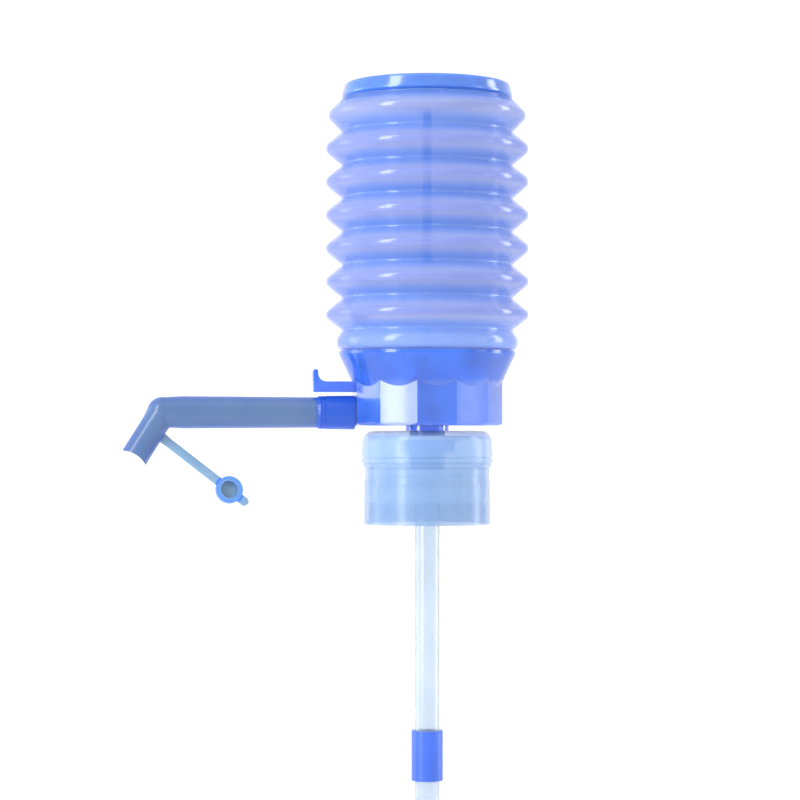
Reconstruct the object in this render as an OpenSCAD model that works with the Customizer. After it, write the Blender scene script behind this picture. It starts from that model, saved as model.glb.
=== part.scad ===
// Bellows hand pump: pressing its palm cap pushes water out of a bent spout, and letting go
// draws water up a dip tube. Lengths in mm, +Z up, spout towards -X.
// The origin is on the pump's axis, in the plane of the collar gasket's lower face.

/* [Collar] */
// Nominal diameter that the collar slides over
jug_neck_d = 56; // [54:0.5:58]
// Radial clearance round that diameter, up to the collar's inner wall
jug_clearance = 0.25; // [0.15:0.05:0.5]
// Wall of the collar's straight skirt
collar_wall = 2.15; // [1.8:0.05:3]
// Thickness of the collar's top wall
collar_top_t = 2.4; // [2:0.1:3.5]
// Depth of the collar's skirt below the gasket
collar_depth = 40.5; // [34:0.5:48]
// Radius of the collar's rounded shoulder
collar_shoulder_r = 5.4; // [4:0.1:6]
// How far the bead stands out of the straight skirt
collar_bead = 1.2; // [0.6:0.1:1.8]
// Height of the collar's inner grip rib
grip_rib_h = 4; // [3:0.5:6]
// How far the inner rib stands into the bore
grip_rib = 0.65; // [0.4:0.05:0.9]
// Thickness of the gasket under the collar's top
gasket_t = 2; // [1.5:0.1:3]
// Width of the gasket's ring
gasket_w = 7; // [5:0.5:8]
// Diameter of the air vent
vent_d = 2; // [1.5:0.5:3]

/* [Housing] */
// Radius of the twelve-sided base, across its corners
base_r = 36.4; // [34:0.2:38]
// Height of the housing from its underside to its rim
housing_h = 35.8; // [34:0.2:40]
// Height at which the corners of the base run out into the bell
facet_h = 21.4; // [19:0.2:22]
// Outside radius of the rim
rim_r = 42.4; // [42:0.1:44]
// Height of the rim's straight band
rim_band = 1.6; // [1:0.1:2.4]
// Wall of the housing
housing_wall = 2; // [1.6:0.1:2.4]
// Thickness of the housing's floor
floor_t = 2.5; // [2:0.1:3.5]
// Radius on the base's bottom edge
base_round = 2; // [1:0.1:2.4]
// Radius of the neck between the housing and the collar
neck_r = 10.5; // [10:0.1:12]
// Gap between the housing and the collar, where the neck shows
neck_gap = 2.4; // [1.5:0.1:6]
// Radius of the threaded stub below the neck
stub_r = 8.5; // [8.2:0.1:9]
// Length of the stub, from the neck's shoulder down
stub_l = 18.4; // [16:0.2:24]

/* [Hook] */
// Reach of the hook from the pump's axis
hook_reach = 55.4; // [50:0.2:62]
// Height of the hook's underside above the housing's underside
hook_rise = 16.1; // [15.6:0.1:17]
// Thickness of the hook's arm
hook_t = 5.2; // [4:0.1:6]
// Width of the hook
hook_w = 7; // [5:0.5:10]
// Height of the finger's tip above the arm
finger_h = 5.9; // [4:0.1:8]
// Thickness of the finger at its tip
finger_t = 2.4; // [2:0.1:3.4]
// Radius of the hollow between the finger and the arm
finger_fillet = 3.8; // [2:0.1:4]

/* [Bellows] */
// Number of full pleats
pleats = 7; // [5:1:8]
// Height of one pleat
pleat_pitch = 16; // [15:0.1:17]
// Outside radius at the crests
crest_r = 48.7; // [47:0.1:50]
// Outside radius of the first crest, below the cap
first_crest_r = 47.4; // [46:0.1:49]
// Outside radius at the valleys
valley_r = 41.3; // [40.5:0.1:42]
// Outside rounding of a crest
crest_round = 2.8; // [2:0.1:3.2]
// Outside rounding of a valley
valley_round = 1; // [0.6:0.1:1.4]
// Wall of the bellows
bellows_wall = 1; // [0.8:0.05:1.3]
// Radius of the low bulge above the rim
bulge_r = 43.7; // [43:0.1:44.4]
// Rounding of the low bulge
bulge_round = 5; // [4:0.1:5.4]
// Height of the low bulge's middle above the rim
bulge_rise = 4.6; // [4.2:0.1:5.4]
// Height of the lowest valley above the rim
low_valley_rise = 10.1; // [9.8:0.1:11]
// Height of the lowest crest above the rim
low_crest_rise = 17.7; // [17.4:0.1:18.6]
// Outside radius of the foot that plugs into the housing
foot_r = 38.5; // [37.6:0.1:38.8]
// Depth of the foot in the housing
foot_l = 4.4; // [3.6:0.1:5]
// Thickness of the seal below the foot
foot_seal_t = 1.6; // [1.2:0.1:2]

/* [Press cap] */
// Radius of the cap's top face at its edge
cap_top_r = 40.1; // [39:0.1:41]
// Widest radius of the cap
cap_r = 41.1; // [40.9:0.1:42]
// Height of the cap
cap_h = 7.5; // [7.2:0.1:9]
// Thickness of the cap's top
cap_t = 2.4; // [2:0.1:2.8]
// Rounding of the cap's top edge
cap_round = 1.8; // [1:0.1:2.2]
// Depth of the palm dish in the cap's top
dish_depth = 0.8; // [0.4:0.1:1]
// Radius of the palm dish
dish_r = 34; // [28:0.5:36]
// Stroke of the press cap
stroke = 62; // [40:1:64]
// Height of the first crest above the ledge that carries the cap, counted down
first_crest_drop = 7.7; // [7.4:0.1:8.4]

/* [Guide] */
// Outside radius of the guide tube under the cap
guide_r = 2.2; // [2:0.1:2.8]
// Radius of the guide pin on the valve cage
guide_pin_r = 1.2; // [1:0.1:1.4]
// Running clearance between the pin and the tube
guide_clearance = 0.05; // [0.03:0.01:0.08]
// Room left below the tube and above the pin at full stroke
guide_spare = 1.5; // [1:0.5:4]

/* [Inlet valve] */
// Radius of the water way through the inlet seat
inlet_bore_r = 4.2; // [3.8:0.1:4.6]
// Radius of the inlet disc
inlet_disc_r = 6.4; // [6:0.1:6.8]
// Thickness of the inlet disc
inlet_disc_t = 1.5; // [1:0.1:2]
// Lift of the inlet disc
inlet_lift = 2.5; // [1.5:0.1:3]
// Radius of the disc's guide stem
stem_r = 1; // [0.8:0.1:1.2]
// Length of the stem below the disc
stem_l = 5; // [4.6:0.1:5.4]
// Radius of the inlet seat's flange
inlet_flange_r = 12; // [11.6:0.1:13]
// Thickness of the inlet seat's flange
inlet_flange_t = 1.6; // [1.2:0.1:2.4]
// Number of posts of the valve cage
cage_posts = 4; // [3:1:6]

/* [Spout] */
// Height of the spout's axis above the housing's underside
spout_rise = 6.4; // [6.3:0.1:6.8]
// Distance from the pump's axis to the bend
spout_reach = 127; // [110:1:150]
// Outside radius of the tube next to the sleeve
spout_r = 7.3; // [7:0.1:7.5]
// Outside radius of the tube before the bend
spout_bend_r = 7.7; // [7.4:0.1:8]
// Bore radius of the tube
spout_bore_r = 6.1; // [5.9:0.1:6.2]
// Angle through which the spout bends down
spout_turn = 58; // [45:1:70]
// Length of the leg, from the bend's corner to the mouth
leg_l = 25.5; // [22:0.5:34]
// Outside radius of the leg
leg_r = 6.5; // [6.3:0.1:6.7]
// Bore radius of the leg
leg_bore_r = 5.3; // [5.1:0.1:5.4]
// Radius of the hollow cut across the mouth
mouth_cut_r = 13; // [10:0.5:20]
// Outside radius of the sleeve at the housing
sleeve_r = 8.15; // [8:0.05:8.5]
// Length of the sleeve
sleeve_l = 18; // [17.4:0.1:20]
// Outside radius of the nipple inside the sleeve
nipple_r = 6.7; // [6.5:0.05:6.8]
// Bore radius of the nipple
nipple_bore_r = 4; // [3.6:0.1:4]
// Running clearance between the nipple and the sleeve
sleeve_clearance = 0.05; // [0.02:0.01:0.08]
// Section radius of the sealing ring on the nipple
ring_section_r = 0.75; // [0.6:0.05:0.9]

/* [Outlet flap] */
// Radius of the water way through the outlet seat
outlet_bore_r = 3; // [2.6:0.1:3.2]
// Radius of the flap's disc
flap_r = 3.6; // [3.4:0.1:3.7]
// Thickness of the flap
flap_t = 0.9; // [0.7:0.1:1]
// Radius of the bead that the flap turns on
flap_bead_r = 0.55; // [0.5:0.05:0.6]
// Running clearance of the bead
flap_clearance = 0.05; // [0.03:0.01:0.08]

/* [Dust cap] */
// Distance along the leg from the bend's corner to the strap's root
strap_root = 10.5; // [9.5:0.5:14]
// Length from the strap's root to the middle of the dust cap
strap_l = 39.2; // [30:0.2:48]
// Width of the strap
strap_w = 4.3; // [3:0.1:5]
// Thickness of the strap
strap_t = 1.2; // [0.8:0.1:1.6]
// Angle of the strap below level
strap_angle = 38; // [30:1:50]
// Twist of the strap about its own length
strap_twist = 18; // [0:1:30]
// Outside radius of the dust cap's rim
dust_rim_r = 6.5; // [6.2:0.1:7]
// Thickness of the dust cap's rim
dust_rim_t = 2.2; // [1.6:0.1:2.8]
// Wall of the dust cap's plug
dust_wall = 0.9; // [0.7:0.1:1.2]
// Clearance of the dust cap's plug in the spout's mouth
dust_clearance = 0.1; // [0.05:0.05:0.3]
// Length of the plug behind the rim
plug_l = 4.6; // [3.6:0.2:6]
// Depth of the recess in the dust cap's face
dust_recess = 3; // [2:0.1:3.6]
// Length of the pull tab beyond the rim
tab_l = 4.6; // [3:0.2:7]

/* [Dip tube] */
// Outside radius of the dip tube
tube_r = 6; // [5.6:0.1:6.2]
// Wall of the dip tube
tube_wall = 1; // [0.8:0.1:1.4]
// Length of one section of the dip tube
section_l = 150; // [100:5:170]
// Depth of the dip tube in the stub
tube_grip = 12; // [8:0.5:14]
// Length of a coupling
coupling_l = 24; // [18:1:34]
// Wall of a coupling
coupling_wall = 1.5; // [1.2:0.1:2.5]
// Clearance of a push-fitted tube
push_clearance = 0.05; // [0.03:0.01:0.1]
// Number of notches in the foot of the dip tube
notches = 4; // [3:1:4]
// Height of a notch
notch_h = 4; // [3:0.5:6]
// Width of a notch
notch_w = 4; // [3:0.5:5]

/* [Hidden] */
$fn = 96;

// Small overlap that carries a cut through a face
cut = 1;
// Play between two pieces that are fixed to each other
fixed_play = 0.05;
// Gap between the sleeve's end and the housing's facet
sleeve_gap = 0.3;

// Heights up the axis
collar_top = gasket_t + collar_top_t;
base_z = collar_top + neck_gap;
floor_z = base_z + floor_t;
rim_z = base_z + housing_h;
spout_z = base_z + spout_rise;
low_crest_z = rim_z + low_crest_rise;
first_crest_z = low_crest_z + (pleats - 1) * pleat_pitch;
ledge_z = first_crest_z + first_crest_drop;
cap_low_z = ledge_z + fixed_play;
cap_top_z = cap_low_z + cap_h;
cap_under_z = cap_top_z - cap_t;

// Collar
bore_r = jug_neck_d / 2 + jug_clearance;
collar_r = bore_r + collar_wall;
bead_r = collar_r + collar_bead;
bead_top = -7.6;
bead_low = -10.6;
waist_top = -13.5;
waist_z = -17.9;
waist_low = -20.6;
waist_in = 0.5;
line_r = 0.35;
collar_lines = [[bead_r, -8.4], [bead_r - 0.25, -11.1], [collar_r - 0.25, waist_top]];
grip_rib_z = -31;
gasket_r = bore_r - fixed_play;

// Nut and washer below the collar's top
washer_t = 1;
nut_h = 7;
nut_flange_r = 15;
nut_flange_t = 1.8;
nut_hex_r = 13.4;
stub_hole_r = stub_r + fixed_play;
vent_place_r = (nut_flange_r + gasket_r - gasket_w) / 2;

// Housing
facets = 12;
facet_turn = 180 / facets;
corner_spare = 0.1;
base_flat = base_r * cos(facet_turn);
cavity_r = (base_flat - housing_wall) / cos(facet_turn);
band_z = rim_z - rim_band;
bell_slope = (rim_r - base_r) / (band_z - base_z - facet_h);
bell_low_z = base_z + facet_h - (base_r - base_flat) / bell_slope - housing_wall;
bell_low_r = rim_r - bell_slope * (band_z - bell_low_z);
foot_bore_r = foot_r + fixed_play;
foot_z = rim_z - foot_l;
seal_seat_z = foot_z - foot_seal_t;
seal_w = 3;
seal_in_r = foot_r - seal_w;
snap = 0.4;
snap_h = 1;
snap_z = foot_z + 1.2;
well_r = inlet_flange_r + fixed_play;
well_wall = 1.5;
well_h = 3.6;

// Inlet valve
gasket_thin = 1;
spigot_r = 8;
spigot_l = 3;
counterbore_z = floor_z - spigot_l - gasket_thin;
throat_r = 4.4;
tube_stop_z = collar_top - stub_l + tube_grip;
seat_lip_w = 1;
seat_lip_h = 0.6;
disc_z = floor_z + inlet_flange_t + seat_lip_h;
hub_r = 2;
hub_l = 3;
hub_arms = 3;
hub_arm_w = 1.2;
cage_ring_t = 2;
cage_ring_in = inlet_disc_r + 1.4;
cage_ring_z = floor_z + inlet_flange_t;
cage_roof_t = 2.4;
lift_stop_gap = 0.02;
cage_stop_z = disc_z + inlet_disc_t + inlet_lift + lift_stop_gap;
cage_roof_z = cage_stop_z + 1.6;
cage_roof_r = cage_ring_in + 2.4;
cage_boss_r = 3.2;
cage_boss_h = 2.8;
cage_boss_z = cage_roof_z + cage_roof_t + cage_boss_h;
cage_post_w = 3;
cage_post_in = 0.5;
pin_socket_z = cage_roof_z;

// Guide between the cap and the valve cage
guide_boss_r = 4.4;
guide_boss_h = 6;
guide_tube_z = cage_boss_z + stroke + guide_spare;
guide_pin_top_z = cap_under_z - stroke - guide_spare;
guide_bore_r = guide_pin_r + guide_clearance;

// Bellows outline
crest_steps = 6;
valley_steps = 3;
cap_wall = 1.9;
neck_bead_r = cap_r - cap_wall;
neck_in = 0.9;
ledge_in = 0.3;
ledge_r = valley_r - ledge_in;
cap_bore_r = neck_bead_r + fixed_play;
cap_seal_t = 1.4;
neck_top_z = cap_under_z - cap_seal_t;
lip_h = 1.2;

// Outlet valve
nipple_l = 15;
nipple_end = base_flat + nipple_l;
seat_flange_t = 1.6;
seat_flange_gap = 0.3;
seat_flange_r = spout_bore_r - seat_flange_gap;
seat_spigot_l = 4;
flap_face = nipple_end + seat_flange_t;
flap_hinge_x = flap_face + flap_t / 2;
flap_drop = 0.1;
flap_arm_w = 3;
ear_w = 0.8;
ear_in = 1.8;
ear_wall = 0.3;
ear_gap = 0.15;
ear_r = flap_bead_r + flap_clearance + ear_wall;
flap_hinge_z = sqrt(pow(flap_r, 2) - pow(ear_in, 2)) - flap_drop + ear_gap + ear_r;
ring_centre_r = nipple_r + 0.02 - ring_section_r;
ring_x = nipple_end - 4;
ring_groove_r = ring_centre_r - ring_section_r - 0.02;
ring_groove_w = 2 * ring_section_r + 0.3;

// Spout
sleeve_x = base_flat + sleeve_gap;
sleeve_end_x = sleeve_x + sleeve_l;
sleeve_taper = 0.2;
sleeve_chamfer = 1.3;
sleeve_lines = [1.9, 3.6];
elbow_r = 7.2;
elbow_bore_r = 5.9;
ball_over = 0.15;
tube_neck_l = 9.6;
leg_neck_l = 6.6;
mouth_sag = mouth_cut_r - sqrt(pow(mouth_cut_r, 2) - pow(leg_r, 2));

// Dust cap
strap_root_r = strap_t / 2;
strap_root_gap = 0.35;
plug_r = leg_bore_r - dust_clearance;
tab_w = 4;

// Point on the tube's axis at the bend's corner, and the strap's root
bend_corner = [-spout_reach, 0, spout_z];
strap_side = leg_r + strap_root_r + strap_root_gap;

function arc(cx, cz, r, from, to, steps) = [
    for (i = [0:steps]) let (a = from + (to - from) * i / steps) [cx + r * cos(a), cz + r * sin(a)]
];

// Angle of the straight flank that touches a crest's arc and a valley's arc.
// across and up lead from the valley's centre to the crest's centre.
function flank(across, up, r_crest, r_valley) =
    acos(-(r_crest + r_valley) / norm([across, up])) - atan2(up, across);

flank_a = flank(crest_r - crest_round - valley_r - valley_round, pleat_pitch / 2,
                crest_round, valley_round);
first_flank_a = flank(first_crest_r - crest_round - valley_r - valley_round, pleat_pitch / 2,
                      crest_round, valley_round);
low_flank_a = flank(crest_r - crest_round - valley_r - valley_round, low_crest_rise - low_valley_rise,
                    crest_round, valley_round);
bulge_flank_a = flank(bulge_r - bulge_round - valley_r - valley_round, low_valley_rise - bulge_rise,
                      bulge_round, valley_round);
bulge_end_a = -62;

// Angle of the flank from the ledge's corner to the first crest
ledge_corner = [ledge_r, ledge_z];
first_centre = [first_crest_r - crest_round, first_crest_z];
to_ledge = ledge_corner - first_centre;
ledge_flank_a = atan2(to_ledge[1], to_ledge[0]) - acos(crest_round / norm(to_ledge));

// Outline of the bellows from its neck down to its foot, moved in by inset
function bellows_outline(inset) = concat(
    [[neck_bead_r - neck_in - inset, neck_top_z]],
    inset > 0 ? [] : [
        [neck_bead_r, neck_top_z],
        [neck_bead_r, neck_top_z - lip_h],
        [neck_bead_r - neck_in, neck_top_z - lip_h - neck_in]
    ],
    [[neck_bead_r - neck_in - inset, ledge_z - inset]],
    [[ledge_r - inset * (1 - sin(ledge_flank_a)) / cos(ledge_flank_a), ledge_z - inset]],
    arc(first_centre[0], first_centre[1], crest_round - inset,
        ledge_flank_a, -first_flank_a, crest_steps),
    [for (i = [pleats - 2:-1:0]) let (z = low_crest_z + i * pleat_pitch) each concat(
        arc(valley_r + valley_round, z + pleat_pitch / 2, valley_round + inset,
            i == pleats - 2 ? 180 - first_flank_a : 180 - flank_a, 180 + flank_a, valley_steps),
        arc(crest_r - crest_round, z, crest_round - inset,
            flank_a, i == 0 ? -low_flank_a : -flank_a, crest_steps)
    )],
    arc(valley_r + valley_round, rim_z + low_valley_rise, valley_round + inset,
        180 - low_flank_a, 180 + bulge_flank_a, valley_steps),
    arc(bulge_r - bulge_round, rim_z + bulge_rise, bulge_round - inset,
        bulge_flank_a, bulge_end_a, crest_steps),
    [[foot_r - inset, rim_z + inset]],
    inset > 0 ? [] : [
        [foot_r, snap_z + snap_h],
        [foot_r + snap, snap_z + snap_h / 2],
        [foot_r, snap_z]
    ],
    [[foot_r - inset, foot_z]]
);

// Position along the spout's straight axis, with local +Z pointing away from the pump
module along_spout(x) {
    translate([-x, 0, spout_z]) rotate([0, -90, 0]) children();
}

// Position along the leg from the bend's corner, with local +Z pointing out of the mouth
module along_leg(l) {
    translate(bend_corner) rotate([0, -90 - spout_turn, 0]) translate([0, 0, l]) children();
}

// Frame of the strap: origin at its root, local +Z along it, local -Y out of the cap's face
module along_strap(l) {
    along_leg(strap_root) translate([-strap_side, 0, 0])
        rotate([0, 180 + spout_turn + strap_angle, 0]) rotate([0, 0, -strap_twist])
            translate([0, 0, l]) children();
}

// Ring with a square section
module ring(r_out, r_in, h) {
    difference() {
        cylinder(r = r_out, h = h);
        translate([0, 0, -cut]) cylinder(r = r_in, h = h + 2 * cut);
    }
}

module collar() {
    color([0.72, 0.83, 0.95, 0.55]) difference() {
        rotate_extrude() polygon(concat(
            [[stub_hole_r, collar_top]],
            arc(bead_r - 0.3 - collar_shoulder_r, collar_top - collar_shoulder_r,
                collar_shoulder_r, 90, 0, crest_steps),
            [
                [bead_r, bead_top], [bead_r, bead_low], [collar_r - waist_in / 2, waist_top],
                [collar_r - waist_in, waist_z], [collar_r, waist_low], [collar_r, -collar_depth],
                [bore_r + collar_wall / 3, -collar_depth], [bore_r, -collar_depth + collar_wall],
                [bore_r, grip_rib_z], [bore_r - grip_rib, grip_rib_z + grip_rib],
                [bore_r - grip_rib, grip_rib_z + grip_rib_h - grip_rib],
                [bore_r, grip_rib_z + grip_rib_h],
                [bore_r, gasket_t], [stub_hole_r, gasket_t]
            ]
        ));
        for (line = collar_lines) translate([0, 0, line[1]])
            rotate_extrude() translate([line[0], 0]) circle(r = line_r);
        translate([0, vent_place_r, gasket_t - cut]) cylinder(d = vent_d, h = collar_top_t + 2 * cut);
    }
}

module collar_gasket() {
    color("whitesmoke") ring(gasket_r, gasket_r - gasket_w, gasket_t);
}

module neck_washer() {
    color("dimgray") translate([0, 0, gasket_t - washer_t]) ring(nut_flange_r, stub_hole_r, washer_t);
}

module neck_nut() {
    flange_z = gasket_t - washer_t - nut_flange_t;
    color([0.25, 0.42, 0.93]) difference() {
        union() {
            translate([0, 0, flange_z]) cylinder(r = nut_flange_r, h = nut_flange_t);
            translate([0, 0, gasket_t - washer_t - nut_h])
                cylinder(r = nut_hex_r, h = nut_h - nut_flange_t, $fn = 6);
        }
        translate([0, 0, gasket_t - washer_t - nut_h - cut])
            cylinder(r = stub_hole_r, h = nut_h + 2 * cut);
    }
}

// Twelve-sided prism with a flat towards the spout
module twelve_sided(r, h) {
    rotate([0, 0, facet_turn]) cylinder(r = r, h = h, $fn = facets);
}

// Bell, base, neck and nipple before they are hollowed
module housing_body() {
    intersection() {
        translate([0, 0, base_z]) twelve_sided(base_r, facet_h + housing_wall / 2);
        rotate_extrude() polygon(concat(
            [[0, base_z]],
            arc(base_r + corner_spare - base_round, base_z + base_round, base_round,
                -90, 0, crest_steps),
            [[base_r + cut, base_z + base_round], [base_r + cut, rim_z], [0, rim_z]]
        ));
    }
    rotate_extrude() polygon([
        [0, bell_low_z], [bell_low_r, bell_low_z], [rim_r, band_z], [rim_r, rim_z], [0, rim_z]
    ]);
    translate([0, 0, collar_top]) cylinder(r = neck_r, h = neck_gap + cut);
    translate([0, 0, collar_top - stub_l]) cylinder(r = stub_r, h = stub_l + cut);
    along_spout(base_flat - housing_wall / 2)
        cylinder(r = nipple_r, h = nipple_end - base_flat + housing_wall / 2);
    hook();
}

// Hook over the spout, with a rounded finger
module hook() {
    tip_r = finger_t / 2;
    low = base_z + hook_rise;
    top = low + hook_t;
    root = base_flat - housing_wall / 2;
    rotate([90, 0, 0]) translate([0, 0, -hook_w / 2]) linear_extrude(hook_w) polygon(concat(
        [[-root, low], [-hook_reach, low]],
        arc(-hook_reach + tip_r, top + finger_h - tip_r, tip_r, 180, 0, crest_steps),
        arc(-hook_reach + finger_t + finger_fillet, top + finger_fillet, finger_fillet,
            180, 270, crest_steps),
        [[-root, top]]
    ));
}

module housing() {
    color([0.25, 0.45, 0.97]) difference() {
        union() {
            difference() {
                housing_body();
                translate([0, 0, floor_z]) twelve_sided(cavity_r, bell_low_z - floor_z + cut);
                rotate_extrude() polygon([
                    [0, bell_low_z], [base_flat - housing_wall, bell_low_z],
                    [seal_in_r, seal_seat_z - housing_wall], [seal_in_r, seal_seat_z],
                    [foot_bore_r, seal_seat_z], [foot_bore_r, snap_z],
                    [foot_bore_r + snap, snap_z + snap_h / 2], [foot_bore_r, snap_z + snap_h],
                    [foot_bore_r, rim_z + cut], [0, rim_z + cut]
                ]);
            }
            translate([0, 0, floor_z - floor_t / 2])
                cylinder(r = well_r + well_wall, h = well_h + floor_t / 2);
        }
        // Well for the inlet valve, then the way down through the neck and the stub
        translate([0, 0, floor_z]) cylinder(r = well_r, h = well_h + cut);
        translate([0, 0, counterbore_z])
            cylinder(r = spigot_r + fixed_play, h = floor_z - counterbore_z + cut);
        translate([0, 0, tube_stop_z - cut])
            cylinder(r = throat_r, h = counterbore_z - tube_stop_z + 2 * cut);
        translate([0, 0, collar_top - stub_l - cut])
            cylinder(r = tube_r + push_clearance, h = tube_grip + cut);
        // Outlet through the wall and the nipple, and the groove for its sealing ring
        along_spout(base_flat - 3 * housing_wall) cylinder(r = nipple_bore_r, h = nipple_end);
        along_spout(ring_x - ring_groove_w / 2) ring(nipple_r + cut, ring_groove_r, ring_groove_w);
    }
}

module bellows() {
    inner = bellows_outline(bellows_wall);
    color([0.45, 0.55, 0.95, 0.7]) rotate_extrude() polygon(concat(
        bellows_outline(0), [for (i = [len(inner) - 1:-1:0]) inner[i]]
    ));
}

module foot_seal() {
    color("whitesmoke") translate([0, 0, seal_seat_z]) ring(foot_r, seal_in_r, foot_seal_t);
}

module press_cap() {
    lip_in_r = neck_bead_r - neck_in / 2;
    color([0.42, 0.62, 0.97]) difference() {
        rotate_extrude() polygon(concat(
            [[0, cap_top_z - dish_depth], [dish_r - 2 * dish_depth, cap_top_z - dish_depth],
             [dish_r, cap_top_z]],
            arc(cap_top_r - cap_round, cap_top_z - cap_round, cap_round, 90, 10, crest_steps),
            [
                [cap_r, cap_low_z + lip_h + cap_round / 2], [cap_r, cap_low_z + lip_h],
                [cap_top_r, cap_low_z], [lip_in_r, cap_low_z], [lip_in_r, cap_low_z + lip_h],
                [cap_bore_r, cap_low_z + lip_h + neck_in / 2], [cap_bore_r, cap_under_z],
                [guide_boss_r, cap_under_z], [guide_boss_r, cap_under_z - guide_boss_h],
                [0, cap_under_z - guide_boss_h]
            ]
        ));
        translate([0, 0, cap_under_z - guide_boss_h - cut])
            cylinder(r = guide_r + fixed_play, h = guide_boss_h + cut);
    }
}

module cap_seal() {
    color("whitesmoke") translate([0, 0, neck_top_z]) ring(neck_bead_r, neck_bead_r - seal_w, cap_seal_t);
}

module guide_tube() {
    color([0.35, 0.5, 0.95]) translate([0, 0, guide_tube_z])
        ring(guide_r, guide_bore_r, cap_under_z - guide_tube_z);
}

module guide_pin() {
    color("silver") translate([0, 0, pin_socket_z])
        cylinder(r = guide_pin_r, h = guide_pin_top_z - pin_socket_z);
}

module inlet_seat_gasket() {
    color("dimgray") translate([0, 0, counterbore_z]) ring(spigot_r, throat_r + fixed_play, gasket_thin);
}

// Seat pressed into the housing's floor, with a hub on three arms for the disc's stem
module inlet_seat() {
    hub_z = floor_z - spigot_l;
    color("white") {
        difference() {
            union() {
                translate([0, 0, hub_z]) cylinder(r = spigot_r, h = spigot_l);
                translate([0, 0, floor_z]) cylinder(r = inlet_flange_r, h = inlet_flange_t);
                translate([0, 0, floor_z])
                    cylinder(r = inlet_bore_r + seat_lip_w, h = inlet_flange_t + seat_lip_h);
            }
            difference() {
                translate([0, 0, hub_z - cut]) cylinder(r = inlet_bore_r, h = disc_z - hub_z + 2 * cut);
                translate([0, 0, hub_z]) cylinder(r = hub_r, h = hub_l);
                for (i = [0:hub_arms - 1]) rotate([0, 0, i * 360 / hub_arms])
                    translate([0, -hub_arm_w / 2, hub_z]) cube([spigot_r - cut, hub_arm_w, hub_l]);
            }
            translate([0, 0, hub_z - cut]) cylinder(r = stem_r + fixed_play, h = hub_l + 2 * cut);
        }
    }
}

module inlet_disc() {
    color("firebrick") {
        translate([0, 0, disc_z]) cylinder(r = inlet_disc_r, h = inlet_disc_t);
        translate([0, 0, disc_z - stem_l]) cylinder(r = stem_r, h = stem_l + inlet_disc_t / 2);
    }
}

// Cage over the inlet disc: ring, posts, roof with a stop below it and a boss for the guide pin
module inlet_cage() {
    color("white") difference() {
        union() {
            translate([0, 0, cage_ring_z]) ring(inlet_flange_r, cage_ring_in, cage_ring_t);
            for (i = [0:cage_posts - 1]) rotate([0, 0, (i + 0.5) * 360 / cage_posts])
                translate([cage_ring_in, -cage_post_w / 2, cage_ring_z])
                    cube([
                        cage_roof_r - cage_ring_in - cage_post_in, cage_post_w,
                        cage_roof_z + cage_roof_t / 2 - cage_ring_z
                    ]);
            translate([0, 0, cage_roof_z]) cylinder(r = cage_roof_r, h = cage_roof_t);
            translate([0, 0, cage_stop_z]) cylinder(r = cage_boss_r, h = cage_roof_z - cage_stop_z + cut);
            translate([0, 0, cage_roof_z]) cylinder(r = cage_boss_r, h = cage_roof_t + cage_boss_h);
        }
        translate([0, 0, pin_socket_z])
            cylinder(r = guide_pin_r + guide_clearance, h = cage_boss_z - pin_socket_z + cut);
    }
}

// Seat at the nipple's end, with two ears that hold the flap's bead
module outlet_seat() {
    color("white") difference() {
        union() {
            along_spout(nipple_end - seat_spigot_l)
                cylinder(r = nipple_bore_r - fixed_play, h = seat_spigot_l + seat_flange_t / 2);
            along_spout(nipple_end) cylinder(r = seat_flange_r, h = seat_flange_t);
            for (side = [-1, 1]) along_spout(flap_face)
                translate([0, side * (ear_in + ear_w / 2) + ear_w / 2, 0]) rotate([90, 0, 0])
                    linear_extrude(ear_w) polygon(concat(
                        [[flap_hinge_z - ear_r, -seat_flange_t / 2]],
                        arc(flap_hinge_z, flap_t / 2, ear_r, 180, 0, crest_steps),
                        [[flap_hinge_z + ear_r, -seat_flange_t / 2]]
                    ));
        }
        along_spout(nipple_end - seat_spigot_l - cut)
            cylinder(r = outlet_bore_r, h = seat_spigot_l + seat_flange_t + 2 * cut);
        translate([-flap_hinge_x, 0, spout_z + flap_hinge_z]) rotate([90, 0, 0])
            cylinder(r = flap_bead_r + flap_clearance, h = 2 * (ear_in + ear_w + fixed_play), center = true);
    }
}

module outlet_flap() {
    bead_l = 2 * (ear_in + ear_w);
    color("firebrick") {
        along_spout(flap_face) translate([-flap_drop, 0, 0]) cylinder(r = flap_r, h = flap_t);
        along_spout(flap_face) translate([0, -flap_arm_w / 2, 0])
            cube([flap_hinge_z, flap_arm_w, flap_t]);
        translate([-flap_hinge_x, 0, spout_z + flap_hinge_z]) rotate([90, 0, 0])
            cylinder(r = flap_bead_r, h = bead_l, center = true);
    }
}

module spout_ring() {
    color("dimgray") along_spout(ring_x) rotate_extrude()
        translate([ring_centre_r, 0]) circle(r = ring_section_r);
}

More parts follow.
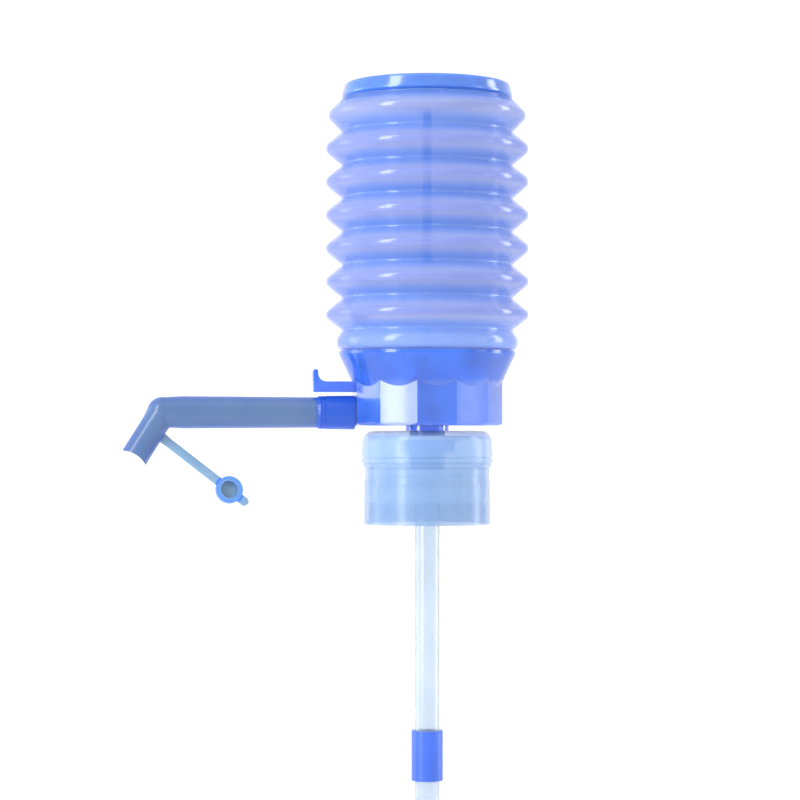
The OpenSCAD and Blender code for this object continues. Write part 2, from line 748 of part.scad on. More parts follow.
module spout() {
    neck_x = spout_reach - tube_neck_l;
    bore_x = nipple_end + sleeve_gap;
    color([0.35, 0.52, 0.85, 0.8]) difference() {
        union() {
            along_spout(sleeve_x)
                cylinder(r1 = sleeve_r, r2 = sleeve_r - sleeve_taper, h = sleeve_l - sleeve_chamfer);
            along_spout(sleeve_end_x - sleeve_chamfer)
                cylinder(r1 = sleeve_r - sleeve_taper, r2 = spout_r, h = sleeve_chamfer);
            along_spout(sleeve_end_x) cylinder(r1 = spout_r, r2 = spout_bend_r, h = neck_x - sleeve_end_x);
            along_spout(neck_x) cylinder(r1 = spout_bend_r, r2 = elbow_r, h = tube_neck_l);
            along_leg(0) sphere(r = elbow_r + ball_over);
            along_leg(0) cylinder(r1 = elbow_r, r2 = leg_r, h = leg_neck_l);
            along_leg(leg_neck_l) cylinder(r = leg_r, h = leg_l - leg_neck_l);
        }
        along_spout(sleeve_x - cut) cylinder(r = nipple_r + sleeve_clearance, h = bore_x - sleeve_x + cut);
        along_spout(bore_x - cut) cylinder(r = spout_bore_r, h = neck_x - bore_x + cut);
        along_spout(neck_x) cylinder(r1 = spout_bore_r, r2 = elbow_bore_r, h = tube_neck_l);
        along_leg(0) sphere(r = elbow_bore_r + ball_over);
        along_leg(0) cylinder(r1 = elbow_bore_r, r2 = leg_bore_r, h = leg_neck_l);
        along_leg(leg_neck_l) cylinder(r = leg_bore_r, h = leg_l);
        along_leg(leg_l - mouth_sag + mouth_cut_r) rotate([90, 0, 0])
            cylinder(r = mouth_cut_r, h = 4 * leg_r, center = true);
        for (line = sleeve_lines) along_spout(sleeve_end_x - line) rotate_extrude()
            translate([sleeve_r - sleeve_taper + 0.1, 0]) circle(r = line_r);
    }
}

module strap() {
    color([0.45, 0.62, 0.8, 0.8]) difference() {
        union() {
            along_strap(0) rotate([0, 90, 0]) cylinder(r = strap_root_r, h = strap_w, center = true);
            along_strap(0) translate([-strap_w / 2, -strap_t / 2, 0])
                cube([strap_w, strap_t, strap_l - dust_rim_r / 2]);
        }
        along_strap(strap_l) rotate([90, 0, 0]) cylinder(r = dust_rim_r, h = 4 * strap_t, center = true);
    }
}

// Plug for the spout's mouth, with a recessed face, a rim and a pull tab
module dust_cap() {
    color([0.3, 0.5, 0.95, 0.85]) difference() {
        union() {
            along_strap(strap_l) rotate([-90, 0, 0]) translate([0, 0, -dust_rim_t / 2]) {
                cylinder(r = dust_rim_r, h = dust_rim_t);
                cylinder(r = plug_r, h = dust_rim_t + plug_l - dust_wall);
                translate([0, 0, dust_rim_t + plug_l - dust_wall])
                    cylinder(r1 = plug_r, r2 = plug_r - dust_wall, h = dust_wall);
            }
            along_strap(strap_l) translate([-tab_w / 2, -strap_t / 2, dust_rim_r - cut])
                cube([tab_w, strap_t, tab_l - tab_w / 2 + cut]);
            along_strap(strap_l + dust_rim_r + tab_l - tab_w / 2) rotate([90, 0, 0])
                cylinder(d = tab_w, h = strap_t, center = true);
        }
        along_strap(strap_l) rotate([-90, 0, 0]) translate([0, 0, -dust_rim_t / 2 - cut])
            cylinder(r = plug_r - dust_wall, h = dust_recess + cut);
    }
}

// One straight section of the dip tube, hanging from its top
module dip_section(top) {
    color([0.8, 0.88, 0.96, 0.6]) translate([0, 0, top - section_l])
        ring(tube_r, tube_r - tube_wall, section_l);
}

module dip_tube_upper() { dip_section(tube_stop_z); }

module dip_tube_middle() { dip_section(tube_stop_z - section_l); }

module dip_tube_lower() {
    foot = tube_stop_z - 3 * section_l;
    difference() {
        dip_section(tube_stop_z - 2 * section_l);
        for (i = [0:notches - 1]) rotate([0, 0, i * 360 / notches + facet_turn])
            translate([tube_r / 2, 0, foot]) rotate([90, 0, 90])
                linear_extrude(tube_r) polygon([
                    [-notch_w / 2, -cut], [notch_w / 2, -cut], [notch_w / 2, 0],
                    [0, notch_h], [-notch_w / 2, 0]
                ]);
    }
}

// Sleeve over the joint of two sections
module coupling(middle) {
    color([0.25, 0.45, 0.97]) translate([0, 0, middle - coupling_l / 2])
        ring(tube_r + push_clearance + coupling_wall, tube_r + push_clearance, coupling_l);
}

module coupling_upper() { coupling(tube_stop_z - section_l); }

module coupling_lower() { coupling(tube_stop_z - 2 * section_l); }

collar();
collar_gasket();
neck_washer();
neck_nut();
housing();
bellows();
foot_seal();
press_cap();
cap_seal();
guide_tube();
guide_pin();
inlet_seat_gasket();
inlet_seat();
inlet_disc();
inlet_cage();
outlet_seat();
outlet_flap();
spout_ring();
spout();
strap();
dust_cap();
dip_tube_upper();
dip_tube_middle();
dip_tube_lower();
coupling_upper();
coupling_lower();
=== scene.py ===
"""Looks of the bellows hand pump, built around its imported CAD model.

+Z is up and the spout points towards -X. The origin is on the pump's axis, in the plane of the
collar gasket's lower face. The bellows, the strap and the stub's screw thread are made here, from
sizes in millimetres. All other pieces are the CAD's own shapes, in finishes made here.
"""

import math

import bmesh
import bpy
from mathutils import Matrix, Vector


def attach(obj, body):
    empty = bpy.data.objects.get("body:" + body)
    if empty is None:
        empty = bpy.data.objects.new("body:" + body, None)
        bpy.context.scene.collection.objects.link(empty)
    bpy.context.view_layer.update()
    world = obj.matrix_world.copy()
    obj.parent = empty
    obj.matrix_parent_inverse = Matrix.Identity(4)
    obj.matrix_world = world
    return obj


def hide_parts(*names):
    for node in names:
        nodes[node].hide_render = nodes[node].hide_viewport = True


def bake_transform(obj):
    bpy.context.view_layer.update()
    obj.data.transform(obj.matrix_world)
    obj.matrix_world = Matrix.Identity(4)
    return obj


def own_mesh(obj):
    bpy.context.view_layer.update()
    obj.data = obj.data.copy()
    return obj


MM = 0.001

# Metres: the collar's top, the base's underside, and where the base's facets meet the cone
COLLAR_TOP = 0.0044
BASE_Z = 0.0068
CONE_Z = 0.0282

# ---------------------------------------------------------------- shader maths


class Flow:
    """A value in a finish: a socket, whose operators add the finish's Math nodes."""

    def __init__(self, finish, socket):
        self.finish, self.socket = finish, socket

    def __add__(self, other):
        return self.finish.calculate("ADD", self, other)

    def __sub__(self, other):
        return self.finish.calculate("SUBTRACT", self, other)

    def __rsub__(self, other):
        return self.finish.calculate("SUBTRACT", other, self)

    def __mul__(self, other):
        return self.finish.calculate("MULTIPLY", self, other)

    __radd__, __rmul__ = __add__, __mul__

    def step(self, low, high):
        """0 below low and 1 above high, with a smooth rise between them."""
        return self.finish.node(
            "ShaderNodeMapRange",
            {"interpolation_type": "SMOOTHSTEP"},
            {"Value": self, "From Min": low, "From Max": high},
        )


class Finish:
    """A moulded or metal finish, whose maths is written with Flow."""

    def __init__(self, name, **constants):
        self.material = bpy.data.materials.new(name)
        self.material.use_nodes = True
        self.tree = self.material.node_tree
        self.shader = self.tree.nodes["Principled BSDF"]
        for socket, value in constants.items():
            self.shader.inputs[socket.replace("_", " ")].default_value = value
        place = self.tree.nodes.new("ShaderNodeTexCoord")
        self.place = Flow(self, place.outputs["Object"])

    def node(self, kind, settings, sockets, out=0):
        """Adds a node: its settings first, then its sockets by name or number."""
        made = self.tree.nodes.new(kind)
        for setting, value in settings.items():
            setattr(made, setting, value)
        for socket, value in sockets.items():
            if isinstance(value, Flow):
                self.tree.links.new(value.socket, made.inputs[socket])
            else:
                made.inputs[socket].default_value = value
        return Flow(self, made.outputs[out])

    def calculate(self, operation, *values):
        return self.node("ShaderNodeMath", {"operation": operation}, dict(enumerate(values)))

    def axes(self):
        """The place's x, y and z."""
        parted = self.node("ShaderNodeSeparateXYZ", {}, {0: self.place})
        return [Flow(self, output) for output in parted.socket.node.outputs]

    def noise(self, scale, detail=3.0, roughness=0.5, stretch=None):
        place = self.place
        if stretch:
            place = self.node("ShaderNodeMapping", {}, {"Vector": place, "Scale": stretch})
        sockets = {"Vector": place, "Scale": scale, "Detail": detail, "Roughness": roughness}
        return self.node("ShaderNodeTexNoise", {}, sockets)

    def clouds(self):
        """Soft clouding of the pigment, from 0 to 1."""
        return self.noise(scale=38.0, detail=4.0, roughness=0.55).step(0.3, 0.7)

    def mix(self, share, first, second):
        """Mixes two colours."""
        sockets = {0: share, 6: opaque(first), 7: opaque(second)}
        return self.node("ShaderNodeMix", {"data_type": "RGBA"}, sockets, out=2)

    def set(self, socket, value):
        self.tree.links.new(value.socket, self.shader.inputs[socket])
        return self

    def bump(self, height, distance):
        sockets = {"Height": height, "Distance": distance, "Strength": 1.0}
        return self.set("Normal", self.node("ShaderNodeBump", {}, sockets))


def opaque(colour):
    return colour if isinstance(colour, Flow) else (*colour, 1.0)


def tint(colour, by):
    return tuple(min(1.0, channel * by) for channel in colour)


# -------------------------------------------------------------- moulded plastic

SCUFF_WHITE = (0.9, 0.94, 1.0)


def moulded(name, colour, rough=0.25, cloud=0.08, grain=0.00002, scuffs=0.5, form=None,
            **constants):
    """Glossy moulded plastic: clouded pigment, flow marks, fine grain and light scuffs.

    form gives a further height in metres, for a shape too slight for the solid.
    """
    finish = Finish(name, IOR=1.49, **constants)
    flow = finish.noise(scale=90.0, detail=2.0, stretch=(1.0, 1.0, 0.22))
    scuff = finish.noise(scale=420.0, detail=5.0, roughness=0.7, stretch=(1.0, 0.35, 1.0))
    scuff = scuff.step(0.6, 0.72)
    body = finish.mix(finish.clouds(), tint(colour, 1 - cloud), tint(colour, 1 + cloud))
    finish.set("Base Color", finish.mix(scuff * (0.02 * scuffs), body, SCUFF_WHITE))
    finish.set("Roughness", rough + 0.05 * flow + 0.14 * scuffs * scuff)
    waves = finish.noise(scale=75.0, detail=1.0)
    height = (finish.noise(scale=1900.0, detail=2.0) + 0.6 * flow + 5.0 * waves) * grain
    return finish.bump(height + form(finish) if form else height, distance=1.0)


# ---------------------------------------------------------------- the housing

FACETS = 12
FACET_EDGE = (0.0353, 0.0362)  # metres from the axis, where a facet's flat face ends
FACET_CROWN = 5.0  # how fast a facet falls away from its middle, in 1/m
EDGE_ROLL, EDGE_ROLL_H = 0.0005, 0.0016  # metres: the roll of the base's lower edge
BLEND = 0.0004  # metres, over which a mask in the housing's finish fades
# Painted light: the colour of the glow given to the neck under the base, though it is no lamp
NECK_PAINTED_GLOW = (0.015, 0.08, 0.55)
CONE_COAT_LOSS = 0.85


def crowned_facets(finish):
    """Height of the base's facets: each is slightly crowned and rolls over at its lower edge."""
    x, y, z = finish.axes()
    turn = 2 * math.pi / FACETS
    angle = finish.calculate("ARCTAN2", y, x)
    off_middle = angle - finish.calculate("ROUND", angle * (1 / turn)) * turn
    radius = finish.calculate("SQRT", x * x + y * y)
    across = radius * finish.calculate("SINE", off_middle)
    out = radius * finish.calculate("COSINE", off_middle)
    crown = (1 - out.step(*FACET_EDGE)) * (across * across * -FACET_CROWN)
    return crown + z.step(BASE_Z, BASE_Z + EDGE_ROLL_H) * EDGE_ROLL


def painted_neck_glow(finish):
    """Painted light: an even emission glow in the short neck under the base, standing in for light
    that seeps through the clear plastic.
    """
    z = finish.axes()[2]
    above_collar = z.step(COLLAR_TOP - BLEND, COLLAR_TOP + BLEND / 2)
    above_neck = z.step(BASE_Z - BLEND, BASE_Z)
    glow = finish.mix(above_collar - above_neck, (0.0, 0.0, 0.0), NECK_PAINTED_GLOW)
    return finish.set("Emission Color", glow)


def satin_cone(finish):
    """The cone above the base's facets is less polished than they are."""
    on_cone = finish.axes()[2].step(CONE_Z - MM, CONE_Z + MM)
    return finish.set("Coat Weight", 1 - CONE_COAT_LOSS * on_cone)


# ----------------------------------------------------------------- the camera

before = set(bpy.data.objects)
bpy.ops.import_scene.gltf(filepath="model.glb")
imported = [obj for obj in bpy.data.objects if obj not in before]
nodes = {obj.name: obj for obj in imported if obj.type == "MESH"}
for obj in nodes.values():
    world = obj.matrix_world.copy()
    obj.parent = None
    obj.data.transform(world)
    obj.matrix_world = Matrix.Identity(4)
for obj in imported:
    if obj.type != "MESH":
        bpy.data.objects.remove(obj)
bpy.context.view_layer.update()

AZIMUTH = math.radians(-7.7)
AWAY = 1.206
LENS, SENSOR = 112.5, 36.0
SHIFT_X, SHIFT_Y = -0.034, 0.05

camera = bpy.data.objects.new("camera", bpy.data.cameras.new("camera"))
bpy.context.scene.collection.objects.link(camera)
camera.data.sensor_width, camera.data.lens = SENSOR, LENS
camera.data.shift_x, camera.data.shift_y = SHIFT_X, SHIFT_Y
camera.location = (math.sin(AZIMUTH) * AWAY, -math.cos(AZIMUTH) * AWAY, 0.0)
camera.rotation_euler = (math.radians(90.0), 0.0, AZIMUTH)
bpy.context.scene.camera = camera
bpy.context.scene.view_settings.view_transform = "Standard"

# ---------------------------------------------------------- the strap's place

# Millimetres and radians, as in the CAD model
ELBOW = Vector((-127.0, 0.0, 13.2))
SPOUT_TURN = math.radians(58)
STRAP_ANGLE, STRAP_TWIST = math.radians(38), math.radians(18)
LEG_R, STRAP_ROOT, STRAP_STANDOFF = 6.5, 10.5, 0.35
STRAP_L, STRAP_W, STRAP_T, DUST_RIM_R = 39.2, 4.3, 1.2, 6.5

leg_way = Vector((-math.cos(SPOUT_TURN), 0, -math.sin(SPOUT_TURN)))
leg_side = Vector((math.sin(SPOUT_TURN), 0, -math.cos(SPOUT_TURN)))
strap_start = ELBOW + STRAP_ROOT * leg_way + (LEG_R + STRAP_T / 2 + STRAP_STANDOFF) * leg_side
strap_turn = (Matrix.Rotation(math.radians(-90) - SPOUT_TURN, 4, "Y")
              @ Matrix.Rotation(math.pi + SPOUT_TURN + STRAP_ANGLE, 4, "Y")
              @ Matrix.Rotation(-STRAP_TWIST, 4, "Z"))
strap_along = strap_turn @ Vector((0, 0, 1))

# --------------------------------------------------------------- the finishes

HOUSING_BLUE = (0.03, 0.12, 0.59)
CAP_BLUE = (0.06, 0.17, 0.66)
NUT_BLUE = (0.04, 0.12, 0.6)
CLEAR = (0.8, 0.88, 0.97)
VALVE_WHITE = (0.8, 0.83, 0.88)
SILICONE_WHITE = (0.78, 0.8, 0.83)
RUBBER_BLACK = (0.025, 0.025, 0.028)

# Thick blue plastic scatters light inside, and thin satin plastic looks bluer at grazing angles
SCATTER = {
    "Subsurface_Weight": 0.6,
    "Subsurface_Scale": 0.012,
    "Subsurface_Radius": (0.35, 0.6, 1.0),
}
BLUE_EDGE = {
    "Sheen_Weight": 0.55,
    "Sheen_Roughness": 0.7,
    "Sheen_Tint": (0.02, 0.1, 0.75, 1.0),
}


def housing_finish():
    # Emission_Strength lights the painted glow in the neck
    finish = moulded("housing_blue", HOUSING_BLUE, 0.12, 0.22, scuffs=0.4, form=crowned_facets,
                     Coat_Roughness=0.04, Emission_Strength=1.0, **SCATTER)
    return satin_cone(painted_neck_glow(finish))


def spout_finish():
    """Satin steel-blue tube, with the sleeve at the housing in a deep blue."""
    tube_dark, tube_pale, streak = (0.14, 0.25, 0.42), (0.18, 0.29, 0.45), (0.1, 0.22, 0.56)
    sleeve_blue = (0.028, 0.15, 0.76)
    sleeve_end = (-0.0555, -0.0525)  # metres along X
    finish = Finish("spout_blue", IOR=1.49, Specular_IOR_Level=0.25, Coat_Weight=0.1,
                    Coat_Roughness=0.14, Transmission_Weight=0.5, **BLUE_EDGE)
    streaks = finish.noise(scale=60.0, stretch=(0.08, 1.0, 1.0))
    on_sleeve = finish.axes()[0].step(*sleeve_end)
    tube = finish.mix(streaks * 0.3, finish.mix(finish.clouds(), tube_dark, tube_pale), streak)
    finish.set("Base Color", finish.mix(on_sleeve, tube, sleeve_blue))
    finish.set("Roughness", 0.2 + 0.1 * streaks)
    return finish.bump(finish.noise(scale=1500.0, detail=2.0) + streaks, distance=0.00002)


def dust_cap_finish():
    """Steel-blue cap and tab, with its thick rim painted a deeper blue: painted light, the tint of
    light seen through the clear plastic's edges.
    """
    face_dark, face_pale, rim_painted_blue = (0.17, 0.3, 0.42), (0.21, 0.34, 0.45), (0.08, 0.24, 0.7)
    rim_inside, rim_outside = (0.0043, 0.0052), (0.0072, 0.0082)  # metres from its middle
    finish = Finish("dust_cap_blue", IOR=1.49, Specular_IOR_Level=0.35, **BLUE_EDGE)
    middle = tuple(MM * along for along in strap_start + STRAP_L * strap_along)
    away = finish.node("ShaderNodeVectorMath", {"operation": "DISTANCE"},
                       {0: finish.place, 1: middle}, out=1)
    painted_rim = away.step(*rim_inside) - away.step(*rim_outside)
    clouds = finish.clouds()
    face = finish.mix(clouds, face_dark, face_pale)
    # Painted light: the rim's deeper blue stands for light seen through the clear plastic's edge
    finish.set("Base Color", finish.mix(painted_rim * 0.85, face, rim_painted_blue))
    finish.set("Roughness", 0.24 + 0.08 * clouds)
    return finish.bump(finish.noise(scale=1500.0, detail=2.0) + clouds, distance=0.00002)


def collar_finish():
    """Frosted blue-tinted plastic, clouded, darker on its skirt as painted shade of the
    water-filled jug neck inside it, with a faint tide line near its lower edge.
    """
    skirt_shade_dark, skirt_shade_pale = (0.14, 0.28, 0.54), (0.21, 0.36, 0.62)
    shoulder_dark, shoulder_pale = (0.25, 0.44, 0.76), (0.34, 0.53, 0.84)
    tide = (0.3, 0.5, 0.82)
    # Heights in metres
    tide_low, tide_high, skirt_to_shoulder = (-0.0325, -0.0275), (-0.0255, -0.0205), (-0.034, 0.002)
    finish = Finish("frosted_collar", IOR=1.46, Coat_Weight=0.35, Coat_Roughness=0.12, Alpha=0.48)
    z = finish.axes()[2]
    clouds = finish.noise(scale=34.0, detail=1.0, roughness=0.4)
    on_tide = z.step(*tide_low) - z.step(*tide_high)
    # Painted shade: the skirt is darker than the shoulder, standing in for the jug's neck inside it
    shaded_skirt = finish.mix(clouds, skirt_shade_dark, skirt_shade_pale)
    shoulder = finish.mix(clouds, shoulder_dark, shoulder_pale)
    body = finish.mix(z.step(*skirt_to_shoulder), shaded_skirt, shoulder)
    finish.set("Base Color", finish.mix(on_tide * 0.3, body, tide))
    finish.set("Roughness", 0.2 + 0.14 * clouds)
    return finish.bump(finish.noise(scale=1300.0), distance=0.00003)


def bellows_finish():
    """Translucent bellows with painted light and shade: bluer in the valleys, paler on the crests
    and darker at their tips, with a parting line each side.
    """
    # Painted shade and light: the valleys' blue and the crests' darker tips are painted shade, the
    # crests' paler violet is painted light
    valley_shade_blue, crest_light_violet, tip_shade_blue = (0.15, 0.34, 0.9), (0.31, 0.36, 0.61), (0.14, 0.22, 0.68)
    cloud_violet = (0.34, 0.37, 0.68)
    crest_fade, tip_fade = (0.0415, 0.048), (0.0468, 0.0487)  # metres from the axis
    parting_half = 0.0004  # metres
    finish = Finish("bellows_violet", IOR=1.49, Specular_IOR_Level=0.3, Coat_Weight=0.8,
                    Coat_Roughness=0.05, Sheen_Weight=1.0, Sheen_Roughness=0.5,
                    Sheen_Tint=(0.16, 0.26, 0.75, 1.0))
    x, y, _ = finish.axes()
    from_axis = finish.node("ShaderNodeCombineXYZ", {}, {0: x, 1: y, 2: 0.0})
    radius = finish.node("ShaderNodeVectorMath", {"operation": "LENGTH"}, {0: from_axis}, out=1)
    on_crest, shaded_tip = radius.step(*crest_fade), radius.step(*tip_fade)
    clouds = finish.noise(scale=24.0, detail=2.0)
    # Mixes the painted shade of the valleys and tips with the painted light of the crests
    wall = finish.mix(shaded_tip * 0.7, finish.mix(on_crest, valley_shade_blue, crest_light_violet), tip_shade_blue)
    finish.set("Base Color", finish.mix(clouds * 0.2, wall, cloud_violet))
    finish.set("Alpha", 0.46 + 0.2 * on_crest)
    finish.set("Roughness", 0.12 + 0.1 * clouds)
    parting = 1 - finish.calculate("ABSOLUTE", y).step(0.0, parting_half)
    return finish.bump(parting, distance=0.00005)


def steel_finish():
    """Drawn wire: fine lines along its length."""
    dark, pale = (0.46, 0.47, 0.49), (0.66, 0.67, 0.69)
    finish = Finish("drawn_steel", Metallic=1.0)
    lines = finish.noise(scale=2600.0, stretch=(1.0, 1.0, 0.03))
    finish.set("Base Color", finish.mix(lines, dark, pale))
    finish.set("Roughness", 0.22 + 0.2 * lines)
    return finish.bump(lines, distance=0.00001)


def floor_finish():
    finish = Finish("pale_floor", Roughness=0.85)
    clouds = finish.noise(scale=3.0, detail=2.0)
    return finish.set("Base Color", finish.mix(clouds, (0.93, 0.935, 0.94), (0.95, 0.95, 0.955)))


finishes = {
    "housing": housing_finish(),
    "cap": moulded("cap_blue", CAP_BLUE, 0.16, 0.14, scuffs=0.4, Coat_Weight=0.6,
                   Coat_Roughness=0.07, **SCATTER),
    "nut": moulded("nut_blue", NUT_BLUE, 0.28),
    "tube": moulded("clear_tube", CLEAR, 0.12, 0.03, scuffs=0.3, Transmission_Weight=0.85),
    "valve": moulded("valve_white", VALVE_WHITE, 0.42, 0.03, 0.00004),
    "silicone": moulded("milky_silicone", SILICONE_WHITE, 0.5, 0.03, 0.00003,
                        Subsurface_Weight=0.2, Subsurface_Scale=0.002),
    "rubber": moulded("seal_black", RUBBER_BLACK, 0.62, 0.15, 0.00006, scuffs=0.2),
    "collar": collar_finish(),
    "spout": spout_finish(),
    "dust_cap": dust_cap_finish(),
    "bellows": bellows_finish(),
    "steel": steel_finish(),
    "floor": floor_finish(),
}

WORN_BY = {
    "collar": ["collar"],
    "silicone": ["collar_gasket", "foot_seal", "cap_seal", "inlet_disc", "outlet_flap"],
    "rubber": ["neck_washer", "inlet_seat_gasket", "spout_ring"],
    "nut": ["neck_nut", "guide_tube", "coupling_upper", "coupling_lower"],
    "housing": ["housing"],
    "cap": ["press_cap"],
    "steel": ["guide_pin"],
    "valve": ["inlet_seat", "inlet_cage", "outlet_seat"],
    "spout": ["spout"],
    "dust_cap": ["dust_cap"],
    "tube": ["dip_tube_upper", "dip_tube_middle", "dip_tube_lower"],
}


def wear(mesh, finish):
    mesh.materials.clear()
    mesh.materials.append(finishes[finish].material)


for finish, wearers in WORN_BY.items():
    for node in wearers:
        wear(nodes[node].data, finish)

# ------------------------------------------------------------- shaping pieces

WELD = 1e-6  # metres


def piece(name, mesh, finish):
    """A new piece at the origin, with its place in its mesh."""
    made = bpy.data.objects.new(name, mesh)
    bpy.context.scene.collection.objects.link(made)
    wear(mesh, finish)
    for face in mesh.polygons:
        face.use_smooth = True
    return made


def outward(mesh):
    """Welds a closed mesh and turns its faces outwards."""
    work = bmesh.new()
    work.from_mesh(mesh)
    bmesh.ops.remove_doubles(work, verts=work.verts, dist=WELD)
    bmesh.ops.recalc_face_normals(work, faces=work.faces)
    work.to_mesh(mesh)
    work.free()
    return mesh


def shaping_tree(name, kind, *sizes):
    """A Geometry Nodes tree: the tree, its input node, and the identifier of each named size."""
    tree = bpy.data.node_groups.new(name, "GeometryNodeTree")
    socket = tree.interface.new_socket
    socket("Geometry", in_out="INPUT", socket_type="NodeSocketGeometry")
    named = [socket(size, in_out="INPUT", socket_type=kind).identifier for size in sizes]
    socket("Geometry", in_out="OUTPUT", socket_type="NodeSocketGeometry")
    return tree, tree.nodes.new("NodeGroupInput"), named


def shaped(source, tree, last, finish, sizes):
    """Ends the tree, runs it on the source with its sizes and gives the plain mesh."""
    real, paint, result = [
        tree.nodes.new(kind)
        for kind in ("GeometryNodeRealizeInstances", "GeometryNodeSetMaterial", "NodeGroupOutput")
    ]
    paint.inputs["Material"].default_value = finishes[finish].material
    tree.links.new(last.outputs[0], real.inputs["Geometry"])
    tree.links.new(real.outputs["Geometry"], paint.inputs["Geometry"])
    tree.links.new(paint.outputs["Geometry"], result.inputs[0])
    held = bpy.data.objects.new(tree.name + "_source", source)
    bpy.context.scene.collection.objects.link(held)
    modifier = held.modifiers.new(tree.name, "NODES")
    modifier.node_group = tree
    for identifier, size in sizes.items():
        modifier[identifier] = size
    bpy.context.view_layer.update()
    seen = held.evaluated_get(bpy.context.evaluated_depsgraph_get())
    mesh = bpy.data.meshes.new_from_object(seen)
    bpy.data.objects.remove(held)
    return outward(mesh)


# ---------------------------------------------------------------- the bellows

# Millimetres and counts
RIM_Z, FOOT_Z, FOOT_R = 42.6, 38.2, 38.5
CREST_R, VALLEY_R, FIRST_CREST_R, BULGE_R = 48.7, 41.3, 47.4, 43.7
CREST_ROUND, VALLEY_ROUND, BULGE_ROUND = 2.8, 1.0, 5.0
PLEATS, PITCH = 7, 16.0
LOW_CREST_Z, LOW_VALLEY_Z, BULGE_Z = 60.3, 52.7, 47.2
LEDGE_R, LEDGE_Z, NECK_TOP_Z, NECK_R = 41.0, 164.0, 167.75, 39.2
NECK_GROOVE, NECK_LIP = 0.9, 1.2
CUT_Z, CUT_FLARE = 163.0, 0.35  # where the pleats end and the neck begins
WALL, STROKE = 1.0, 62.0
TURNS = 144
CREST_STEPS, VALLEY_STEPS = 10, 6
BULGE_END = -62  # degrees


def arc(centre, radius, start, end, steps):
    """Points (radius, height) on an arc, from one angle to another in degrees."""
    turns = [math.radians(start + (end - start) * i / steps) for i in range(steps + 1)]
    return [(centre[0] + radius * math.cos(a), centre[1] + radius * math.sin(a)) for a in turns]


def flank(across, up, r_crest, r_valley):
    """Angle of the straight flank that touches a crest's arc and a valley's arc."""
    tilt = math.acos(-(r_crest + r_valley) / math.hypot(across, up))
    return math.degrees(tilt - math.atan2(up, across))


def pleat_outline(inset):
    """Points from the ledge under the cap down to the housing's rim, moved into the wall."""
    crest_x, valley_x = CREST_R - CREST_ROUND, VALLEY_R + VALLEY_ROUND
    first_x, bulge_x = FIRST_CREST_R - CREST_ROUND, BULGE_R - BULGE_ROUND
    even = flank(crest_x - valley_x, PITCH / 2, CREST_ROUND, VALLEY_ROUND)
    first = flank(first_x - valley_x, PITCH / 2, CREST_ROUND, VALLEY_ROUND)
    low = flank(crest_x - valley_x, LOW_CREST_Z - LOW_VALLEY_Z, CREST_ROUND, VALLEY_ROUND)
    bulge = flank(bulge_x - valley_x, LOW_VALLEY_Z - BULGE_Z, BULGE_ROUND, VALLEY_ROUND)
    crest, valley = CREST_ROUND - inset, VALLEY_ROUND + inset

    centre = (first_x, LOW_CREST_Z + (PLEATS - 1) * PITCH)
    dx, dz = LEDGE_R - centre[0], LEDGE_Z - centre[1]
    ledge = math.degrees(math.atan2(dz, dx) - math.acos(CREST_ROUND / math.hypot(dx, dz)))
    top_crest = arc(centre, crest, ledge, -first, CREST_STEPS)
    share = (CUT_Z - top_crest[0][1]) / (LEDGE_Z - top_crest[0][1])
    corner = (LEDGE_R - inset, LEDGE_Z)
    points = [tuple(a + share * (b - a) for a, b in zip(top_crest[0], corner))] + top_crest
    for i in range(PLEATS - 2, -1, -1):
        z = LOW_CREST_Z + i * PITCH
        above, below = (first if i == PLEATS - 2 else even), (low if i == 0 else even)
        points += arc((valley_x, z + PITCH / 2), valley, 180 - above, 180 + even, VALLEY_STEPS)
        points += arc((crest_x, z), crest, even, -below, CREST_STEPS)
    points += arc((valley_x, LOW_VALLEY_Z), valley, 180 - low, 180 + bulge, VALLEY_STEPS)
    points += arc((bulge_x, BULGE_Z), BULGE_ROUND - inset, bulge, BULGE_END, CREST_STEPS)
    return points + [(FOOT_R - inset, RIM_Z)]


def lathe(name, outline):
    """Geometry Nodes: sweeps a closed outline round the axis and gives a plain mesh."""
    curve = bpy.data.curves.new(name + "_outline", "CURVE")
    curve.dimensions = "3D"
    line = curve.splines.new("POLY")
    line.points.add(len(outline) - 1)
    for point, (radius, z) in zip(line.points, outline):
        point.co = (radius * MM, -z * MM, 0.0, 1.0)
    line.use_cyclic_u = True
    tree, given, (sections,) = shaping_tree(name + "_lathe", "NodeSocketInt", "Sections")
    circle = tree.nodes.new("GeometryNodeCurvePrimitiveCircle")
    sweep = tree.nodes.new("GeometryNodeCurveToMesh")
    weld = tree.nodes.new("GeometryNodeMergeByDistance")
    circle.inputs["Radius"].default_value = WELD
    weld.inputs["Distance"].default_value = WELD
    tree.links.new(given.outputs["Sections"], circle.inputs["Resolution"])
    tree.links.new(circle.outputs["Curve"], sweep.inputs["Curve"])
    tree.links.new(given.outputs["Geometry"], sweep.inputs["Profile Curve"])
    tree.links.new(sweep.outputs["Mesh"], weld.inputs["Geometry"])
    return shaped(curve, tree, weld, "bellows", {sections: TURNS})


groove_r = NECK_R - NECK_GROOVE
neck_outline = [
    (NECK_R, NECK_TOP_Z),
    (NECK_R, NECK_TOP_Z - NECK_LIP),
    (groove_r, NECK_TOP_Z - NECK_LIP - NECK_GROOVE),
    (groove_r, LEDGE_Z),
    (LEDGE_R, LEDGE_Z),
    (LEDGE_R + CUT_FLARE, CUT_Z),
    (LEDGE_R + CUT_FLARE - WALL, CUT_Z),
    (groove_r - WALL, CUT_Z),
    (groove_r - WALL, NECK_TOP_Z),
]
foot_outline = [(FOOT_R, RIM_Z), (FOOT_R, FOOT_Z), (FOOT_R - WALL, FOOT_Z), (FOOT_R - WALL, RIM_Z)]
pleats = pleat_outline(0) + pleat_outline(WALL)[::-1]

